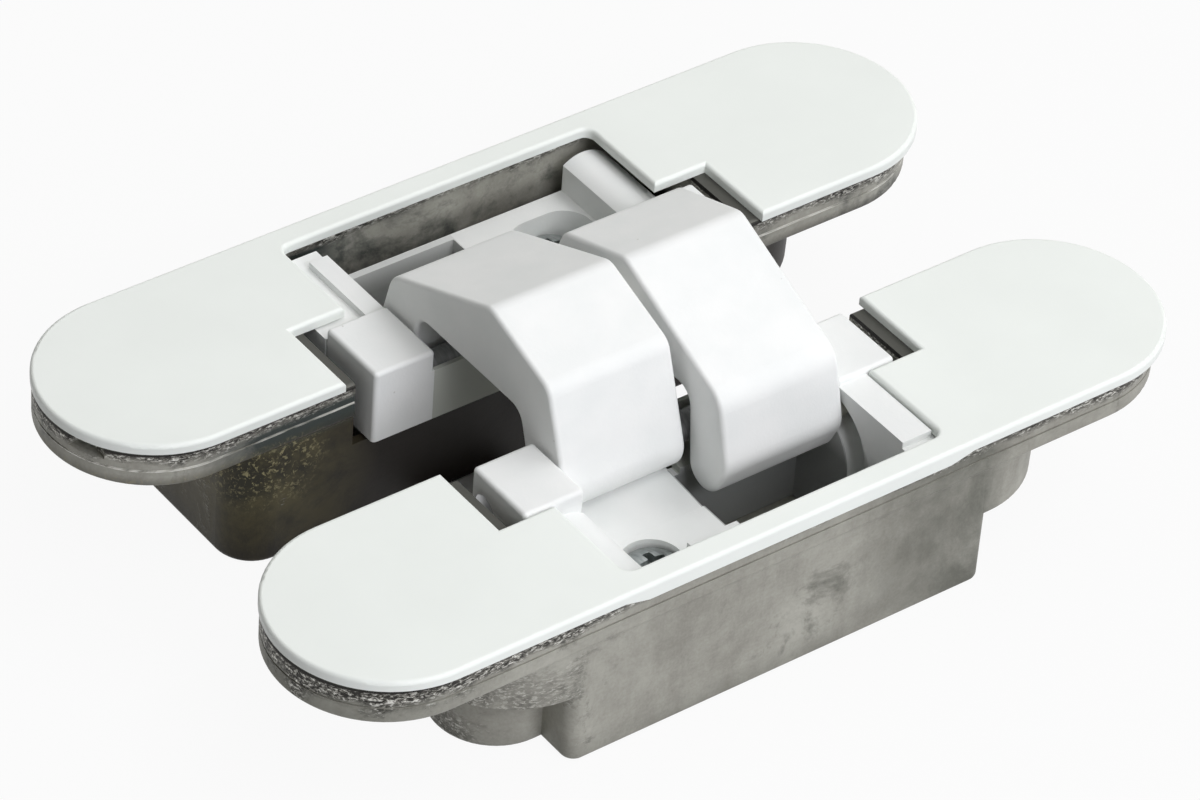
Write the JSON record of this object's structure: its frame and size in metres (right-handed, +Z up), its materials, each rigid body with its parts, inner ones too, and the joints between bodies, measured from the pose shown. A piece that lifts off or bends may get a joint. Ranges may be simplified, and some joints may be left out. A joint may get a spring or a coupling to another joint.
{
  "type": "concealed door hinge",
  "caption": "Concealed door hinge with white clip-on cover plates, two cast bodies set into door and frame, and crossed arms that fold away inside them.",
  "frame": {"origin": "midway between the two leaves lying open at 180 degrees, on the plane of the bodies' backs", "axes": "+X along the hinge, parallel to every pivot; +Y from the door leaf to the frame leaf; +Z up out of the cover plates"},
  "size_m": [0.111, 0.068, 0.0321],
  "materials": {
    "zinc_casting": "raw die-cast zinc, mottled and slightly pitted",
    "white_cover": "smooth satin white",
    "white_coat": "fine-textured matte white powder coat on die-cast zinc",
    "zinc_plated_steel": "bright zinc plating",
    "ground_steel": "ground steel pin",
    "acetal": "natural moulded acetal"
  },
  "bodies": {
    "frame_body": {"frame_body": "zinc_casting", "frame_cover": "white_cover", "frame_clamp_screw": "zinc_plated_steel", "frame_clamp_washer": "zinc_plated_steel"},
    "frame_carriage": {"frame_carriage": "white_coat", "frame_pivot_pin": "ground_steel"},
    "right_arm": {"right_arm": "white_coat", "right_pivot_bush": "acetal", "right_slide_pin": "ground_steel", "right_slide_bush": "acetal", "centre_bush": "acetal"},
    "left_arm": {"left_arm": "white_coat", "left_pivot_bush": "acetal", "left_slide_pin": "ground_steel", "left_slide_bush": "acetal", "centre_pin": "ground_steel", "centre_washer": "acetal"},
    "door_carriage": {"door_carriage": "white_coat", "door_pivot_pin": "ground_steel"},
    "door_body": {"door_body": "zinc_casting", "door_cover": "white_cover", "door_clamp_screw": "zinc_plated_steel", "door_clamp_washer": "zinc_plated_steel"}
  },
  "joints": [
    {"name": "height_adjust", "type": "slide", "parent": "frame_body", "child": "frame_carriage", "axis": [1, 0, 0], "range_m": [-0.0015, 0.0015]},
    {"name": "right_arm_pivot", "type": "hinge", "parent": "frame_carriage", "child": "right_arm", "pos_m": [0, 0.0102, 0.0168], "axis": [-1, 0, 0], "range_deg": [0, 111.9]},
    {"name": "centre_pivot", "type": "hinge", "parent": "right_arm", "child": "left_arm", "pos_m": [0, -0.0008, 0.0262], "axis": [-1, 0, 0], "range_deg": [-43.81, 0]},
    {"name": "left_arm_pivot", "type": "hinge", "parent": "left_arm", "child": "door_carriage", "pos_m": [0, -0.0118, 0.0168], "axis": [-1, 0, 0], "range_deg": [0, 111.9]},
    {"name": "depth_adjust", "type": "slide", "parent": "door_carriage", "child": "door_body", "axis": [0, 1, 0], "range_m": [-0.0018, 0.0002]}
  ],
  "couplings": [
    {"joint": "centre_pivot", "follows": "right_arm_pivot", "ratio": -0.39143},
    {"joint": "left_arm_pivot", "follows": "right_arm_pivot", "ratio": 1}
  ]
}
